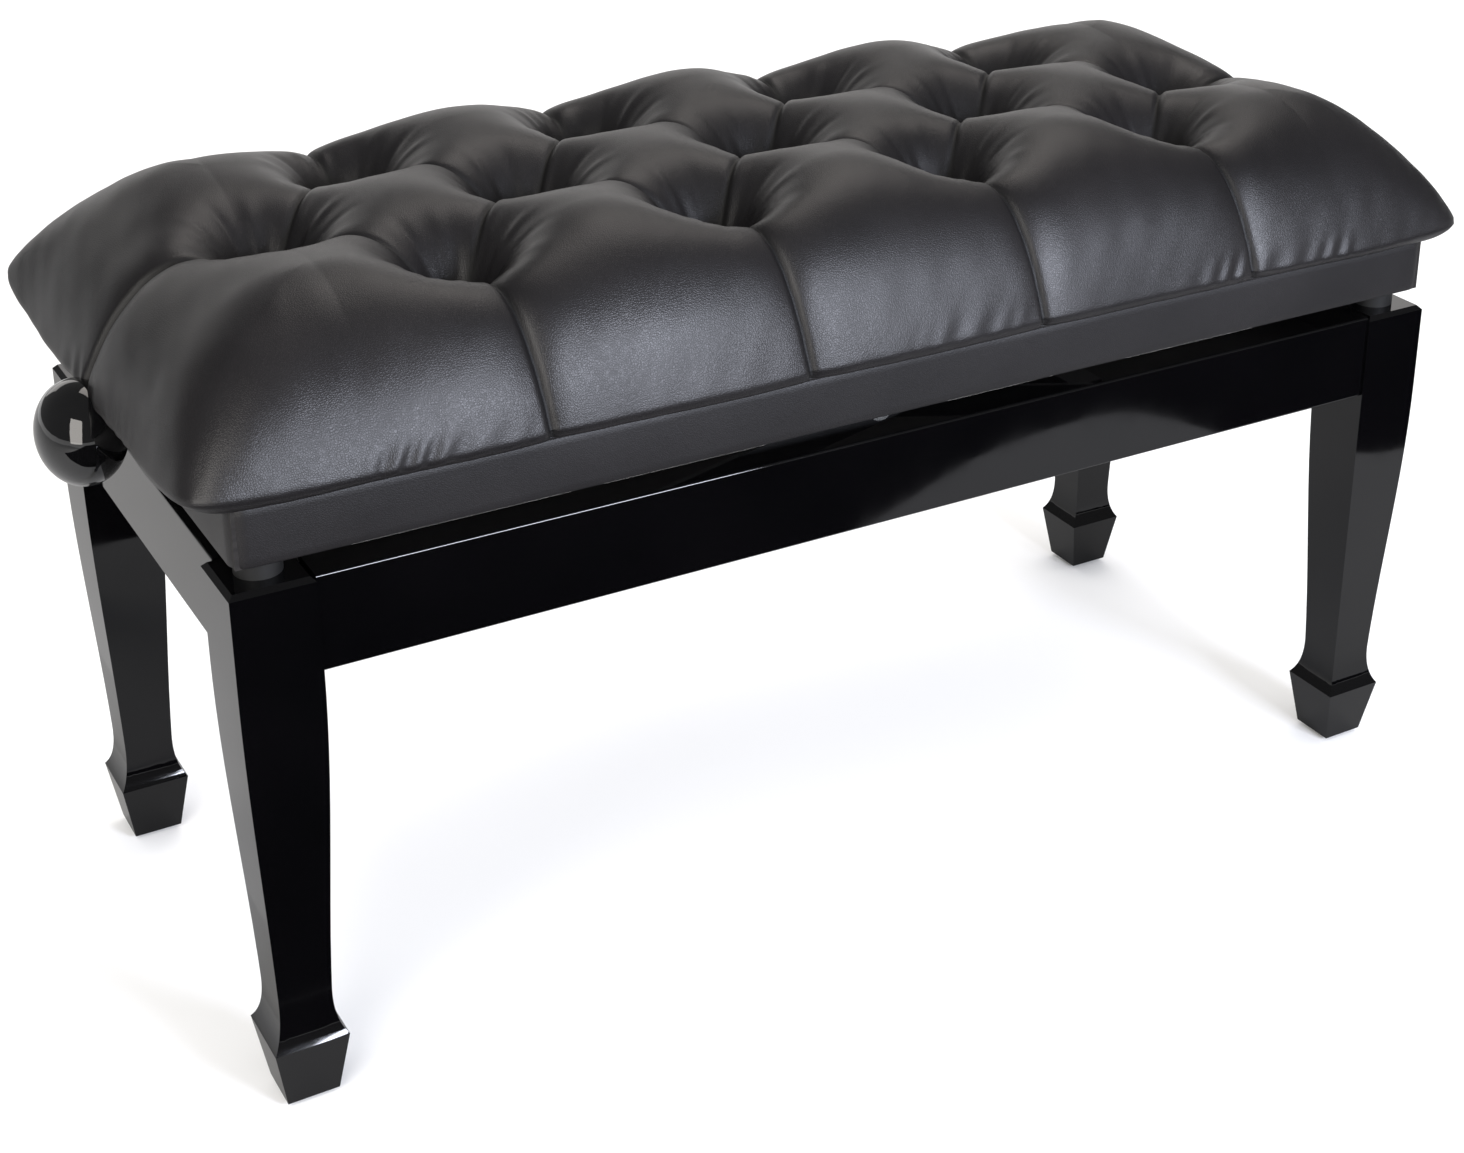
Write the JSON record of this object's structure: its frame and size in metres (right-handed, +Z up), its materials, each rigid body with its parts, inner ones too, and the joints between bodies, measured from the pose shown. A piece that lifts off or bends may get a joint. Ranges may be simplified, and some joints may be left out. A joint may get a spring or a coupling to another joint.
{
  "type": "piano bench",
  "caption": "Duet piano bench: deep-buttoned black leather cushion on a screw-operated scissor lift in a gloss black frame with spade feet, raised by round end knobs",
  "frame": {"origin": "on the floor under the middle of the bench", "axes": "+X along the bench to the right-hand knob, +Y from front to back, +Z up"},
  "size_m": [0.987, 0.396, 0.498],
  "materials": {
    "gloss_black": "high-gloss black polyester lacquer on hardwood",
    "stained_wood": "sawn beech, stained black",
    "plywood": "birch plywood, stained black",
    "black_leather": "soft black upholstery leather, satin, fine grain",
    "foam": "open-cell upholstery foam",
    "black_steel": "satin black powder coat on steel",
    "zinc_steel": "zinc-plated steel",
    "brass": "machined brass",
    "rubber": "moulded black rubber",
    "nylon": "black nylon",
    "knob_black": "polished black phenolic plastic"
  },
  "bodies": {
    "frame": {"leg_front_left": "gloss_black", "leg_front_right": "gloss_black", "leg_back_left": "gloss_black", "leg_back_right": "gloss_black", "apron_front": "gloss_black", "apron_back": "gloss_black", "apron_left": "gloss_black", "apron_right": "gloss_black", "lower_rail_front": "black_steel", "lower_rail_back": "black_steel", "corner_blocks": "stained_wood", "corner_bolts": "zinc_steel", "foot_glides": "nylon", "seat_bumpers": "rubber", "lower_rail_screws": "zinc_steel", "lower_pivot_rod": "zinc_steel"},
    "drive_arms": {"drive_arm_front": "black_steel", "drive_arm_back": "black_steel", "drive_cross_tube": "black_steel", "centre_pivot_rod": "zinc_steel", "arm_spacers": "zinc_steel", "retaining_rings": "zinc_steel"},
    "idler_arms": {"idler_arm_front": "black_steel", "idler_arm_back": "black_steel", "lower_slide_rod": "zinc_steel", "slide_bushes": "nylon"},
    "seat": {"seat_rail_front": "stained_wood", "seat_rail_back": "stained_wood", "seat_rail_left": "stained_wood", "seat_rail_right": "stained_wood", "upper_rail_front": "black_steel", "upper_rail_back": "black_steel", "seat_board": "plywood", "leather_band": "black_leather", "seat_welt": "black_leather", "foam_pad": "foam", "cushion_cover": "black_leather", "cover_buttons": "black_leather", "upper_pivot_pins": "zinc_steel", "upper_rail_screws": "zinc_steel", "bearing_plates": "zinc_steel", "bearing_plate_screws": "zinc_steel", "knob_rosettes": "knob_black"},
    "crosshead": {"crosshead_bar": "black_steel", "lift_nut": "brass"},
    "lift_screw": {"lift_screw": "zinc_steel", "thrust_collars": "zinc_steel", "knob_left": "knob_black", "knob_right": "knob_black", "knob_set_screws": "zinc_steel"}
  },
  "joints": [
    {"name": "seat_lift", "type": "hinge", "parent": "frame", "child": "drive_arms", "pos_m": [-0.1766, 0, 0.318], "axis": [0, -1, 0], "range_deg": [0, 16.06]},
    {"name": "scissor_cross", "type": "hinge", "parent": "drive_arms", "child": "idler_arms", "pos_m": [-0.00004, 0, 0.353], "axis": [0, -1, 0], "range_deg": [-32.14, 0]},
    {"name": "seat_level", "type": "hinge", "parent": "idler_arms", "child": "seat", "pos_m": [-0.1766, 0, 0.388], "axis": [0, -1, 0], "range_deg": [0, 16.08]},
    {"name": "crosshead_level", "type": "hinge", "parent": "drive_arms", "child": "crosshead", "pos_m": [0.17653, 0, 0.388], "axis": [0, -1, 0], "range_deg": [-16.08, 0]},
    {"name": "knob_spin", "type": "hinge", "parent": "seat", "child": "lift_screw", "pos_m": [0, 0, 0.388], "axis": [1, 0, 0], "range_deg": [0, 3983.1]}
  ],
  "couplings": [
    {"joint": "scissor_cross", "follows": "seat_lift", "ratio": -2},
    {"joint": "seat_level", "follows": "seat_lift", "ratio": 1},
    {"joint": "crosshead_level", "follows": "seat_lift", "ratio": -1},
    {"joint": "knob_spin", "follows": "seat_lift", "ratio": 247.7}
  ]
}
